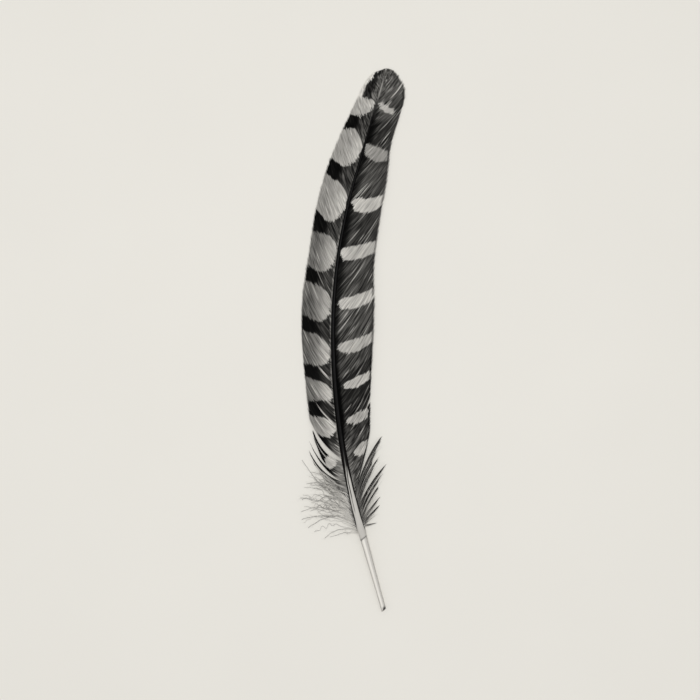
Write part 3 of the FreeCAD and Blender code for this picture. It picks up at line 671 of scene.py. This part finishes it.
def speckled(name, dark, light, scale, gloss, alpha=1.0):
    """Speckled material for the small inner pieces, from object coordinates."""
    mat = material(name)
    specks = noise(mat, add_node(mat, "ShaderNodeTexCoord", {}).outputs["Object"], scale, 4.0)
    return finish_material(mat, {
        "Base Color": mixed(mat, specks, (*dark, 1.0), (*light, 1.0)), "Alpha": alpha,
        "Roughness": between(mat, specks, *gloss), "Normal": bump(mat, specks, 0.5, 0.00008)})


WEB = keratin_web("feather_web", relief=0.6)
LOOSE = keratin_web("loose_barb", relief=0.4)
DOWN = downy("down_filament")
HORN = horn("shaft_horn", stretch=(9.0, 0.12, 1.0), shades=(0.82, 1.18), relief=(0.5, 0.00005),
            spots=(0.9, 3.0), gloss=(0.32, 0.52), sockets={"Specular IOR Level": 0.06})
BARREL = horn("barrel_horn", stretch=(6.0, 0.1, 1.0), shades=(0.9, 1.08), relief=(0.4, 0.00004),
              spots=(0.45, 2.0), gloss=(0.26, 0.44), sockets={"Specular IOR Level": 0.3, "Alpha": 0.8})
MEMBRANE = speckled("dry_membrane", (0.5, 0.48, 0.42), (0.72, 0.7, 0.64), 900.0, (0.5, 0.7), 0.7)
PITH = speckled("pith", (0.62, 0.59, 0.52), (0.8, 0.77, 0.7), 2200.0, (0.8, 0.95))
RESIDUE = speckled("dark_residue", (0.012, 0.011, 0.01), (0.05, 0.045, 0.04), 1500.0, (0.55, 0.85))


# ---- vanes
def make_vane(prefix, side, guides, partings, curl, pattern, splits, hairs, seed, trim=1.0):
    """One vane: all its barbs, drawn in one run and then shared out among the webs."""
    rng = np.random.default_rng(seed)
    first, last = partings[0], partings[-1]
    steps = int((last - first) / BARB_SPACING)
    roots = first + (last - first) * (np.arange(steps) + 0.5) / steps
    roots = roots + rng.normal(0, 0.06, steps)
    roots.sort()
    ends = guide_ends(guides, roots)
    rings, grey, lay = barb_piece(roots, side, ends, smooth(curl, roots), pattern, rng, splits, trim=trim,
                                 hairs=smooth(hairs, roots))
    for number, (low, high) in enumerate(zip(partings, partings[1:]), start=1):
        own = (roots >= low) & (roots < high)
        node = "%s_%d" % (prefix, number)
        piece = strands("barbs_" + node, rings[own], grey[own], lay[own], RIBBON_EDGES)
        dress(piece, WEB, node)


make_vane("left_vane_web", -1, LEFT_GUIDES, LEFT_PARTINGS, LEFT_CURL, left_grey, LEFT_SPLITS,
          LEFT_HAIRS, 11)
make_vane("right_vane_web", 1, RIGHT_GUIDES, RIGHT_PARTINGS, RIGHT_CURL, right_grey, RIGHT_SPLITS,
          RIGHT_HAIRS, 12, RIGHT_TRIM)


def loose_grey(x, y):
    """Loose barbs: black along the blade, greyer beside the shaft and at the very foot."""
    flank = shaft_x(y) + smooth(RACHIS_WIDTHS, y)
    return (26 + 46 * (1 - step_up(x - flank, 0.5, 3.0)) + 24 * step_up(-y, 66, 78)
            + 50 * step_up(-y, 83.2, 84.2))


def make_strip(node, side, low, high, end, tip_width, curl, pattern, seed, spacing, trims, splits=(),
               lift=0):
    """Barbs that came away together: side by side from the shaft, ending one after another in a point.

    trims is how far the lowest and the highest barb reach.
    """
    rng = np.random.default_rng(seed)
    count = max(int(round((high - low) / spacing)), 3)
    roots = np.linspace(low, high, count)
    share = np.linspace(0, 1, count)
    drop = tip_width * np.stack([0.2 * (1 - share) * (side > 0), share - 0.5, 0 * share], -1)
    ends = np.array(end)[None] + drop + rng.normal(0, 0.1, (count, 3)) * FLAT
    trim = trims[0] + (trims[1] - trims[0]) * (np.sin(share * np.pi / 2) if side < 0 else share)
    rings, grey, lay = barb_piece(roots, side, ends, curl, pattern, rng, splits, slack=0.02, trim=trim)
    grey = grey + lift * (np.sin(np.pi * share) ** 0.8 * rng.uniform(0.5, 1.2, count))[:, None, None]
    dress(strands("barbs_" + node, rings, grey, lay, RIBBON_EDGES), LOOSE, node)


def round_lay(rings, along, rng):
    """Lay of round strands: place along in mm and one random number per strand."""
    lay = np.zeros(rings.shape)
    lay[..., 1] = along[..., None]
    lay[..., 2] = rng.uniform(0, 40, len(rings))[:, None, None]
    return lay


def make_fuzz(node, low, high, end, curl, seed):
    """Fine pale barbules loose beside a clump."""
    rng = np.random.default_rng(seed)
    roots = rng.uniform(low - 0.4, high, FUZZ_COUNT)
    away = rng.random(FUZZ_COUNT)
    aside = np.stack([rng.normal(0, 0.3, FUZZ_COUNT), -0.3 - FUZZ_REACH * away, 0.3 * away], -1)
    out = OUT * rng.uniform(0.72, 1.06, FUZZ_COUNT)[:, None]
    lines = barb_lines(roots, 1, np.array(end) + aside, curl + rng.normal(0, 0.06, FUZZ_COUNT), out)
    lines[..., 2] = np.maximum(lines[..., 2] + 0.25 * drift(rng, FUZZ_COUNT, STATIONS, 4), 0.2)
    rings = tubes(lines, np.broadcast_to(FUZZ_RADIUS[0] - FUZZ_RADIUS[1] * OUT, lines.shape[:2]), 4)
    grey = rng.uniform(*FUZZ_GREY, FUZZ_COUNT)[:, None] + 20 * drift(rng, FUZZ_COUNT, STATIONS, 5)
    grey = (grey * (0.55 + 0.45 * step_up(OUT, 0.2, 0.5)))[..., None] + np.zeros(rings.shape[:3])
    lay = round_lay(rings, 20 * OUT[None], rng)
    dress(strands("fuzz_" + node, rings, grey, lay), LOOSE, node)


for order, (node, low, high, *end, tip_width, curl, reach, splits) in enumerate(LEFT_STRIPS):
    shortest = 0.6 if tip_width > WIDE_TIP else 0.85
    make_strip(node, -1, low, high, end, tip_width, curl, left_grey, 30 + order, STRIP_SPACING,
               (shortest, reach), splits)
for order, (node, low, high, *end, tip_width, curl, lift) in enumerate(RIGHT_CLUMPS):
    shortest = 0.68 if tip_width > WIDE_TIP else 0.86
    middle_end = (end[0], end[1] - tip_width / 2, end[2])
    make_strip(node, 1, low, high, middle_end, tip_width, curl, loose_grey, 50 + order,
               CLUMP_SPACING, (shortest, 1.05), lift=lift)
    if tip_width > FUZZ_TIP_WIDTH:
        make_fuzz(node, low, high, end, curl, 150 + order)


# ---- down
def make_feet(number, low, high, seed):
    """The close-lying dark feet of the downy barbs, before they turn away from the shaft."""
    rng = np.random.default_rng(seed)
    count = int((high - low) / FEET_SPACING)
    roots = np.linspace(low + 0.2, high - 0.2, count)
    trim = rng.uniform(0.6, 1.0, count)

    def paler_outward(x, _):
        dark, pale = FOOT_GREY
        return dark + (pale - dark) * step_up(OUT, 0.3, 0.9)[None, :, None] + 0 * x

    ends = guide_ends(DOWN_FEET, roots)
    rings, grey, lay = barb_piece(roots, -1, ends, FEET_CURL, paler_outward, rng, trim=trim)
    piece = strands("down_feet_%d" % number, rings, grey, lay, RIBBON_EDGES)
    dress(piece, DOWN, "downy_tuft_%d" % number)


def make_filaments(number, lines, tone, rng):
    """Fine filaments that lean off the downy barbs whose middle lines and greys are given."""
    starts = np.sort(rng.uniform(0.22, 1.0, (len(lines), DOWN_FILAMENTS)) ** 0.8, axis=1)
    index = (starts * (STATIONS - 1)).astype(int)
    ahead = unit(np.gradient(lines, axis=1))
    base = np.take_along_axis(lines, index[..., None], 1).reshape(-1, 3)
    ahead = np.take_along_axis(ahead, index[..., None], 1).reshape(-1, 3)
    total = len(base)
    sideways = unit(np.cross(ahead, UP)) * rng.choice([-1, 1], total)[:, None]
    heading = unit(ahead + sideways * rng.uniform(0.25, 0.8, total)[:, None]
                   + rng.normal(0, 0.15, (total, 3)) * np.array([1, 1, 0.8]))
    length = rng.uniform(*FILAMENT_LENGTH, total)
    t = np.linspace(0, 1, 6)
    bend = unit(ahead + rng.normal(0, 0.35, (total, 3)))
    paths = (base[:, None] + heading[:, None] * (length[:, None] * t)[..., None]
             + bend[:, None] * (0.4 * length[:, None] * t ** 2)[..., None])
    paths[..., 2] = np.maximum(paths[..., 2], 0.12)
    rings = tubes(paths, np.broadcast_to(FILAMENT_RADIUS[0] - FILAMENT_RADIUS[1] * t, (total, 6)), 3)
    grey = np.repeat(tone * 0.3 + FILAMENT_GREY, DOWN_FILAMENTS)[:, None, None] + np.zeros(rings.shape[:3])
    grey = grey + rng.normal(0, 12, total)[:, None, None]
    lay = round_lay(rings, t + 0 * length[:, None], rng)
    piece = strands("down_filaments_%d" % number, rings, grey, lay)
    dress(piece, DOWN, "downy_tuft_%d" % number)


def make_tuft(number, low, high, seed):
    """A tuft of down: wavering downy barbs, each fringed with loose filaments."""
    rng = np.random.default_rng(seed)
    count = DOWN_BARBS[number - 1]
    roots = low + (high - low) * (np.arange(count) + rng.uniform(0.1, 0.9, count)) / count
    aims = np.clip(roots + rng.normal(0, 1.3, count), DOWN_GUIDES[0][0], DOWN_GUIDES[-1][0])
    ends = guide_ends(DOWN_GUIDES, aims)
    bow = smooth(DOWN_GUIDES, aims, 4) + rng.normal(0, 0.9, count)
    reach = rng.uniform(0.25, 1.0, count) ** 0.7
    tone = rng.choice(STEM_TONES, count, p=[0.25, 0.3, 0.25, 0.2]) + 24 * (number == LOWEST_TUFT)
    wild = np.ones(count)
    wisps = np.array([wisp for wisp in DOWN_WISPS if low <= wisp[0] < high])
    if len(wisps):
        roots, ends = np.append(roots, wisps[:, 0]), np.concatenate([ends, wisps[:, 1:4]])
        bow, tone = np.append(bow, wisps[:, 4]), np.append(tone, wisps[:, 5])
        reach, wild = np.append(reach, np.ones(len(wisps))), np.append(wild, 0.35 + 0 * wisps[:, 0])
        count = len(roots)
    gone = OUT * reach[:, None]
    lines = barb_lines(roots, -1, ends, (DOWN_CURL + rng.normal(0, 0.14, count)) * (bow > 0), gone)
    along = unit(shaft_frame(roots)[0] * FLAT)
    lines += along[:, None] * (bow[:, None] * 4 * gone * (1 - gone))[..., None]
    loose = step_up(OUT, 0.1, 0.7) * wild[:, None]
    ahead = unit(np.gradient(lines, axis=1))
    sideways = np.cross(ahead, UP)
    travelled = run_length(lines)
    pitch = rng.uniform(2.6, 5.6, count)[:, None]
    phase = rng.uniform(0, 2 * np.pi, count)[:, None]
    ripple = 0.38 * drift(rng, count, STATIONS, 4) * np.sin(2 * np.pi * travelled / pitch + phase)
    sway = drift(rng, count, STATIONS, 5) * 0.95
    lines += sideways * ((ripple + sway) * loose)[..., None]
    lines[..., 2] = np.maximum(lines[..., 2] + drift(rng, count, STATIONS, 5) * loose * 0.5, 0.25)
    rings = tubes(lines, (STEM_RADIUS[0] - STEM_RADIUS[1] * OUT) * (1.3 - 0.3 * wild)[:, None], 6)
    pale = 0.85 * step_up(OUT, 0.02, 0.1) * (1 - step_up(OUT, 0.22, 0.55))
    grey = tone[:, None] + 18 * drift(rng, count, STATIONS, 7)
    grey = (grey + (212 - grey) * pale)[..., None] + np.zeros(rings.shape[:3])
    piece = strands("down_shafts_%d" % number, rings, grey, round_lay(rings, travelled, rng))
    dress(piece, DOWN, "downy_tuft_%d" % number)
    make_filaments(number, lines, tone, rng)


for number, (high, low) in enumerate(zip(DOWN_PARTINGS, DOWN_PARTINGS[1:]), start=1):
    make_tuft(number, low, high, 70 + number)
    if number < LOWEST_TUFT:
        make_feet(number, max(low, LOWEST_FOOT_Y), high, 80 + number)


# ---- shaft
def foot_mark(y, side):
    """How pale the shaft is at its foot, 0 to 1: pale stripes that widen downward between dark lines."""
    left, right = smooth(FOOT_LEFT, y), smooth(FOOT_RIGHT, y)
    inside = step_up(side - left, -0.04, 0.05) * step_up(right - side, -0.04, 0.05)
    line, line_half = smooth(FOOT_LINE, y), smooth(FOOT_LINE_HALF, y)
    gap = step_up(line_half - np.abs(side - line), -0.05, 0.03) * step_up(line_half, 0.0, 0.04)
    return inside * (1 - 0.85 * gap) * (1 - 0.6 * step_up(y, -64, -54)) * (1 - step_up(y, -54, -47))


def make_rachis():
    """Rachis: horn section with a groove above and a deeper one below, black, pale at its foot and tip."""
    y = SLANT_Y + (SHAFT_END_Y + SHAFT_CAP - SLANT_Y) * np.linspace(0, 1, RACHIS_STATIONS) ** 1.2
    along, across, up = shaft_frame(y)
    half = smooth(RACHIS_WIDTHS, y) * (1 - 0.75 * step_up(y, SHAFT_END_Y - 1.5, SHAFT_END_Y + SHAFT_CAP))
    side, rise = np.cos(ROUND_SHAFT), np.sin(ROUND_SHAFT)
    groove = GROOVE_DEPTH * np.exp(-((side - 0.05) / 0.2) ** 2) * np.clip(rise, 0, 1)
    open_groove = step_up(y, -80, -60) * (1 - step_up(y, 40, 90))
    under = UNDER_GROOVE_DEPTH * np.exp(-(side / 0.24) ** 2) * np.clip(-rise, 0, 1)
    open_under = step_up(y, -84, -66) * (1 - step_up(y, 104, 122))
    ribs = 1 + RIB_DEPTH * np.cos(ROUND_SHAFT * RIB_COUNT)
    width = half[:, None] * (side * ribs)
    height = half[:, None] * HEIGHT_SHARE * (rise * ribs - groove * open_groove[:, None]
                                             + under * open_under[:, None])
    centre = shaft_points(y)
    ring = centre[:, None] + across[:, None] * width[..., None] + up[:, None] * height[..., None]
    from_slant = np.linalg.norm(centre - centre[0], axis=-1)[:, None]
    slanted = width * math.tan(COLLAR_SLANT) * np.exp(-from_slant / 1.6)
    ring = ring + along[:, None] * slanted[..., None]
    pale = foot_mark(y[:, None] + 0 * width, side + 0 * width)
    pale = np.maximum(pale, (rise < -0.05) * step_up(-y, 50, 78)[:, None])
    tip = 50 * step_up(y, 100, 108) + 84 * step_up(y, 108, 114) - 52 * step_up(y, 117, 122)
    grey = (SHAFT_BLACK + tip + 12 * step_up(-y, 40, 60))[:, None]
    grey = grey + (SHAFT_PALE - grey) * pale
    grey = grey + (SHAFT_JOINT - grey) * np.exp(-(from_slant / 0.3) ** 2)
    lay = np.stack([side * half[:, None], y[:, None] + 0 * width, rise * half[:, None]], -1)
    dress(strands("rachis", ring[None], grey[None], lay[None]), HORN, "rachis_cortex")


def barrel_skin(mouth_radius, collar_radius, wobble, rng):
    """One skin of the barrel: rings of points, and how far along the barrel each point lies."""
    mouth, slant = shaft_points(MOUTH_Y), shaft_points(SLANT_Y)
    length = float(np.linalg.norm(slant - mouth))
    axis = (slant - mouth) / length
    right = unit(np.array([axis[1], -axis[0], 0.0]))
    down = np.cross(axis, right)
    start = (MOUTH_RADIUS + mouth_radius * np.cos(ROUND_SHAFT - MOUTH_ROLL)) * math.tan(MOUTH_SLANT)
    end = length + collar_radius * np.cos(ROUND_SHAFT) * math.tan(COLLAR_SLANT)
    along = start + (end - start) * np.linspace(0, 1, BARREL_STATIONS)[:, None]
    taper = (collar_radius - mouth_radius) * (along - END_LENGTH) / (length - END_LENGTH)
    radius = np.where(along < END_LENGTH, mouth_radius, mouth_radius + taper)
    radius = radius * (1 - np.abs(drift(rng, len(ROUND_SHAFT), BARREL_STATIONS, 9, reach=4).T * wobble))
    points = (mouth + axis * along[..., None] + right * (radius * np.cos(ROUND_SHAFT))[..., None]
              + down * (radius * np.sin(ROUND_SHAFT))[..., None])
    return points, along


def make_barrel():
    """Barrel: a thin-walled tube, cut on the slant at its mouth and at the line below the rachis."""
    rng = np.random.default_rng(90)
    outer, outer_along = barrel_skin(MOUTH_RADIUS, COLLAR_RADIUS, 0.010, rng)
    inner, inner_along = barrel_skin(MOUTH_BORE, COLLAR_BORE, 0.0, rng)
    points = np.concatenate([outer, inner[::-1]])
    along = np.concatenate([outer_along, inner_along[::-1]])
    rows, around = along.shape
    index = np.arange(rows * around).reshape(rows, around)
    above = np.roll(index, -1, 0)
    faces = np.stack([index, above, np.roll(above, -1, 1), np.roll(index, -1, 1)], -1).reshape(-1, 4)
    mesh = bpy.data.meshes.new("barrel")
    mesh.from_pydata((points.reshape(-1, 3) * MM).tolist(), [], faces.tolist())
    mesh.update()
    last = BARREL_STATIONS - 1
    mark_keen(mesh, lambda numbers: numbers // around, (0, last, last + 1, rows - 1))
    side = np.broadcast_to(np.cos(ROUND_SHAFT), along.shape)
    # painted light and shade across the barrel: a highlight left of the middle, shade on the right and darker
    # edges
    grey = smooth(BARREL_PAINTED_LIGHT_GREYS, side)
    below_collar = along[last] - along
    grey = grey + (COLLAR_LINE - grey) * np.exp(-(below_collar / 0.28) ** 2)
    grey = grey + (COLLAR_DOT - grey) * np.exp(-((below_collar / 0.45) ** 2 + ((side + 0.95) / 0.12) ** 2))
    stain = np.exp(-((along - along[0]) / 0.8) ** 2) * step_up(side, -0.7, 0.2)
    grey = grey + (MOUTH_STAIN - grey) * stain
    lay = np.stack([side * 1.5, along, np.sin(ROUND_SHAFT) * 1.5 + 0 * along], -1)
    dress(coloured("barrel", mesh, grey, lay), BARREL, "calamus_barrel")


make_rachis()
make_barrel()
for node, finish in (("pulp_cups", MEMBRANE), ("upper_umbilicus_seal", MEMBRANE), ("rachis_pith", PITH),
                     ("lower_umbilicus_plug", RESIDUE)):
    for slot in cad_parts[node].material_slots:
        slot.material = finish


# ---- floor, light and camera, in metres
FLOOR_HALF = 3.0
WORLD_STRENGTH = 0.46
LENS, SENSOR = 100.0, 36.0
FRAME_WIDTH = 0.3217    # how much the picture shows at the height of the feather
AIM_OFFSET = Vector((-0.00115, -0.0046, 0))


def make_floor():
    mesh = bpy.data.meshes.new("floor")
    corners = [(FLOOR_HALF * x, FLOOR_HALF * y, 0) for x, y in ((-1, -1), (1, -1), (1, 1), (-1, 1))]
    mesh.from_pydata(corners, [], [(0, 1, 2, 3)])
    floor = bpy.data.objects.new("floor", mesh)
    bpy.context.scene.collection.objects.link(floor)
    mat = material("floor_paper")
    clouds = noise(mat, add_node(mat, "ShaderNodeTexCoord", {}).outputs["Object"], 14.0, 5.0)
    colour = mixed(mat, clouds, (0.692, 0.672, 0.622, 1), (0.716, 0.696, 0.646, 1))
    mesh.materials.append(finish_material(mat, {
        "Base Color": colour, "Roughness": 0.9, "Specular IOR Level": 0.1}))


def area_light(name, place, size, power):
    """A round light that faces the middle of the scene."""
    data = bpy.data.lights.new(name, "AREA")
    data.shape = "DISK"
    data.size = size
    data.energy = power
    light = bpy.data.objects.new(name, data)
    light.location = place
    light.rotation_euler = (-Vector(place)).to_track_quat("-Z", "Y").to_euler()
    bpy.context.scene.collection.objects.link(light)


make_floor()
world = bpy.data.worlds.new("studio")
world.use_nodes = True
background = world.node_tree.nodes["Background"].inputs
background["Color"].default_value = (1.0, 1.0, 1.0, 1.0)
background["Strength"].default_value = WORLD_STRENGTH
bpy.context.scene.world = world
area_light("key", (-0.1, 0.12, 1.35), 0.4, 11.3)
area_light("fill", (0.5, -0.3, 1.3), 0.9, 2.0)
bpy.context.scene.view_settings.view_transform = "Standard"

middle = (CAD_BOX[0] + CAD_BOX[1]) / 2
camera_data = bpy.data.cameras.new("camera")
camera_data.lens = LENS
camera_data.sensor_width = SENSOR
camera = bpy.data.objects.new("camera", camera_data)
camera.location = middle + Vector((0, 0, FRAME_WIDTH * LENS / SENSOR)) + AIM_OFFSET
bpy.context.scene.collection.objects.link(camera)
bpy.context.scene.camera = camera
